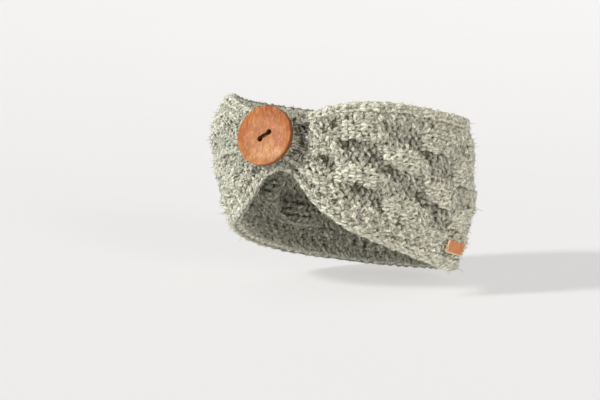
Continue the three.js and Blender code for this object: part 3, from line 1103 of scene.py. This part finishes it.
def wool_material():
    """Marled wool: pale fibres with darker flecks that follow the twist of the plies, with painted
    shade in the creases between the plies, on yarn that lies deep in the knit and in the knit's
    hollows.
    """
    paint = Paint("marled_wool", 0.95, 0.12)
    paint.setting("Sheen Weight", 0.15)
    paint.setting("Sheen Roughness", 0.5)
    along = paint.product(paint.attribute("along"), 0.22)
    around = {"Y": paint.attribute("round_x"), "Z": paint.attribute("round_y")}
    yarn = paint.node("CombineXYZ", "Vector", {"X": along, **around})
    marl = paint.ranged(paint.noise(yarn, 1.4, 2), 0.42, 0.58)
    flecks = paint.ranged(paint.noise(yarn, 3.4, 3), 0.54, 0.62, 0, 0.82)
    pale = paint.ranged(paint.noise(yarn, 4.2, 2), 0.55, 0.62, 0, 0.8)
    base = paint.mixed(marl, WOOL_LIGHT, WOOL_GREY)
    base = paint.mixed(flecks, base, WOOL_DARK)
    base = paint.mixed(pale, base, WOOL_PALE)
    place = paint.place()
    # Painted shade: yarn deep in the knit or in its hollows is darker, yarn on top lighter
    height = paint.ranged(paint.attribute("height"), 0.2, 3.6, 0.28, 1.22)
    heather = paint.ranged(paint.noise(place, 1200, 3, 0.7), 0.36, 0.64, 0.72, 1.28)
    # Painted shade in the creases between the two plies
    ply_crease_shade = paint.ranged(paint.attribute("ply"), 0.0, 0.5, 0.62, 1.0)
    tint = paint.ranged(paint.attribute("tint"), -1, 1, 0.86, 1.12)
    for shade in (height, heather, ply_crease_shade, tint):
        base = paint.shaded(base, shade)
    paint.bump(paint.noise(place, 1500, 4, 0.7), 0.7, 0.0008)
    return paint.finish(base)


def painted_shade_core_material():
    """Wool in the depth of the knit, coloured dark as painted shade between the stitches."""
    paint = Paint("wool_core_painted_shade", 1.0, 0.05)
    patches = paint.noise(paint.place(), 900, 4, 0.7)
    strands = paint.ranged(patches, 0.38, 0.62)
    paint.bump(patches, 0.9, 0.0015)
    return paint.finish(paint.mixed(strands, (0.030, 0.027, 0.014), (0.24, 0.23, 0.150)))


def fuzz_material():
    """Loose fibres, each with its own tone."""
    paint = Paint("wool_fibre", 0.9, 0.1)
    tone = paint.ranged(paint.attribute("tone"), 0.38, 0.80)
    return paint.finish(paint.mixed(tone, (0.92, 0.91, 0.83), (0.13, 0.125, 0.08)))


def wood_material():
    """Orange-brown wood with a fine upright grain under a satin finish, with painted shade towards
    the top, on the side and in the holes, and a painted highlight low on the right.
    """
    paint = Paint("button_wood", 0.52, 0.14)
    paint.setting("Coat Weight", 0.04)
    paint.setting("Coat Roughness", 0.3)
    grain_place = paint.place((1.0, 1.0, 0.13))
    fine_place = paint.place((1.0, 1.0, 0.35))
    patch_place = paint.place((1.0, 1.0, 0.5))
    grain = paint.ranged(paint.noise(grain_place, 800, 5, 0.65), 0.38, 0.62)
    bands = paint.ranged(paint.noise(grain_place, 330, 3), 0.35, 0.65)
    patches = paint.ranged(paint.noise(patch_place, 90, 3), 0.38, 0.62)
    # Painted shade: the wood is darker and redder towards the top of the button and lighter towards
    # the bottom
    height = paint.ranged(paint.height(), BUTTON_LOW * MM, BUTTON_HIGH * MM)
    upper = paint.mixed(patches, (0.34, 0.085, 0.015), (0.48, 0.165, 0.035))
    lower = paint.mixed(patches, (0.40, 0.135, 0.032), (0.54, 0.245, 0.075))
    base = paint.mixed(height, lower, upper)
    # The wood's figure, and the painted highlight low on the right
    for place, radius, colour, most in WOOD_MARKS_AND_HIGHLIGHT:
        base = paint.mixed(paint.spot(place, radius, most), base, colour)
    base = paint.mixed(paint.ranged(bands, 0, 1, 0, 0.5), base, (0.30, 0.085, 0.028))
    base = paint.mixed(paint.ranged(grain, 0, 1, 0, 0.5), base, (0.20, 0.060, 0.020))
    pores = paint.ranged(paint.noise(fine_place, 1500, 3, 0.6), 0.54, 0.66, 0, 0.5)
    base = paint.mixed(pores, base, (0.16, 0.045, 0.016))
    pale = paint.ranged(paint.noise(fine_place, 600, 4, 0.65), 0.48, 0.64, 0, 0.3)
    base = paint.mixed(pale, base, (0.66, 0.34, 0.14))
    # Painted shade on the button's side and in its holes
    side = paint.ranged(paint.attribute("side"), 0, 1, 0, 0.85)
    base = paint.mixed(side, base, (0.15, 0.050, 0.018))
    paint.bump(grain, 0.25, 0.0002)
    return paint.finish(base)


def thread_material():
    paint = Paint("dark_thread", 0.9, 0.1)
    patches = paint.noise(paint.place(), 1500, 3)
    paint.bump(patches, 0.4, 0.0002)
    return paint.finish(paint.mixed(patches, (0.010, 0.004, 0.002), (0.055, 0.022, 0.011)))


def leather_material():
    """Tan leather with pores and creases, and pale raw edges."""
    paint = Paint("tan_leather", 0.55, 0.4)
    place = paint.place()
    patches = paint.ranged(paint.noise(place, 160, 3), 0.35, 0.65)
    base = paint.mixed(patches, (0.54, 0.192, 0.049), (0.71, 0.305, 0.098))
    pores = paint.node("TexVoronoi", "Distance", {"Vector": place, "Scale": 2200})
    base = paint.mixed(paint.ranged(pores, 0.0, 0.5, 0.35, 0.0), base, (0.28, 0.10, 0.04))
    grain = paint.noise(paint.place((1, 0.12, 1)), 1100, 4, 0.6)
    base = paint.mixed(paint.ranged(grain, 0.42, 0.60, 0, 0.5), base, (0.34, 0.11, 0.035))
    edge = paint.ranged(paint.attribute("edge"), 0.5, 1.0)
    base = paint.mixed(edge, base, (0.86, 0.66, 0.45))
    paint.bump(pores, 0.35, 0.0003)
    return paint.finish(base)


def pale_thread_material():
    paint = Paint("pale_thread", 0.8, 0.2)
    patches = paint.noise(paint.place(), 1500, 3)
    return paint.finish(paint.mixed(patches, (0.62, 0.46, 0.28), (0.80, 0.68, 0.48)))


def stage_material():
    paint = Paint("pale_stage", 0.9, 0.1)
    paint.setting("Emission Color", (1.0, 0.985, 0.98, 1.0))
    paint.setting("Emission Strength", 0.50)
    patches = paint.noise(paint.place(), 3, 2)
    return paint.finish(paint.mixed(patches, (0.41, 0.41, 0.41), (0.43, 0.43, 0.43)))


# Stage, lights and camera

def make_stage(material):
    """A pale floor just under the band that curves up slowly into a backdrop all round."""
    drop = 1.0
    flat = 700.0
    bend = 7000.0
    sides = 96
    floor_z = cad_box[0][2] / MM - drop
    rings = [(flat * share, floor_z) for share in (0.1, 1.0)]
    for k in range(1, 16):
        angle = math.radians(3 * k)
        rings.append((flat + bend * math.sin(angle), floor_z + bend * (1 - math.cos(angle))))
    points = []
    for radius, z in rings:
        for k in range(sides):
            angle = 2 * math.pi * k / sides
            points.append((radius * math.cos(angle), radius * math.sin(angle), z))
    points.append((0.0, 0.0, floor_z))
    middle = len(points) - 1
    faces = turned(tube_faces(len(rings), sides)[:-2])
    faces += [(middle, k, (k + 1) % sides) for k in range(sides)]
    mesh = bpy.data.meshes.new("floor")
    mesh.from_pydata((np.array(points) * MM).tolist(), [], faces)
    mesh.materials.append(material)
    mesh.shade_smooth()
    floor = bpy.data.objects.new("floor", mesh)
    floor.visible_shadow = False
    bpy.context.scene.collection.objects.link(floor)


def direction(azimuth, elevation):
    """The way from the part towards a place, from angles in degrees."""
    turn = math.radians(azimuth)
    rise = math.radians(elevation)
    level = math.cos(rise)
    return Vector((math.sin(turn) * level, -math.cos(turn) * level, math.sin(rise)))


def make_camera():
    """The photograph's view: the target is moved so that the part sits where it does there."""
    toward = direction(CAMERA_AZIMUTH, CAMERA_ELEVATION)
    turn = math.radians(CAMERA_AZIMUTH)
    right = Vector((math.cos(turn), math.sin(turn), 0))
    upward = toward.cross(right)
    shift_right = (FRAME_WIDTH / 2 - ORIGIN_PIXEL[0]) / PIXELS_PER_MM
    shift_up = (ORIGIN_PIXEL[1] - FRAME_HEIGHT / 2) / PIXELS_PER_MM
    target = right * shift_right + upward * shift_up
    data = bpy.data.cameras.new("camera")
    data.sensor_width = SENSOR_MM
    data.lens = PIXELS_PER_MM * CAMERA_DISTANCE * SENSOR_MM / FRAME_WIDTH
    data.clip_start = 0.05
    data.clip_end = 20
    camera = bpy.data.objects.new("camera", data)
    camera.location = (target + toward * CAMERA_DISTANCE) * MM
    camera.rotation_euler = toward.to_track_quat("Z", "Y").to_euler()
    bpy.context.scene.collection.objects.link(camera)
    bpy.context.scene.camera = camera


def soft_light(name, azimuth, elevation, strength, spread, colour):
    """A far, broad light from a direction, in degrees, that lights the stage evenly."""
    toward = direction(azimuth, elevation)
    data = bpy.data.lights.new(name, "SUN")
    data.energy = strength
    data.angle = math.radians(spread)
    data.color = colour
    light = bpy.data.objects.new(name, data)
    light.rotation_euler = toward.to_track_quat("Z", "Y").to_euler()
    bpy.context.scene.collection.objects.link(light)


def make_lights():
    """A broad key from the front, a warmer fill from the wearer's left, and soft light all round."""
    world = bpy.data.worlds.new("studio")
    world.use_nodes = True
    background = world.node_tree.nodes["Background"]
    background.inputs["Color"].default_value = (1.0, 0.98, 0.96, 1)
    background.inputs["Strength"].default_value = 0.25
    bpy.context.scene.world = world
    soft_light("key", -35, 28, 2.88, 9, (0.98, 1.0, 0.98))
    soft_light("fill", 54, 12, 1.33, 16, (1.0, 0.95, 0.88))
    bpy.context.scene.view_settings.view_transform = "Standard"


make_camera()
make_lights()
wool = wool_material()
knit_pieces, yarn_roots = make_knit(wool)
edge_piece = make_edges(wool)
fuzz_pieces = make_fuzz(yarn_roots, fuzz_material())
make_core(painted_shade_core_material())
button_place = make_button(wood_material())
make_thread(button_place, thread_material())
make_tag(leather_material())
make_tag_stitches(pale_thread_material())
make_stage(stage_material())
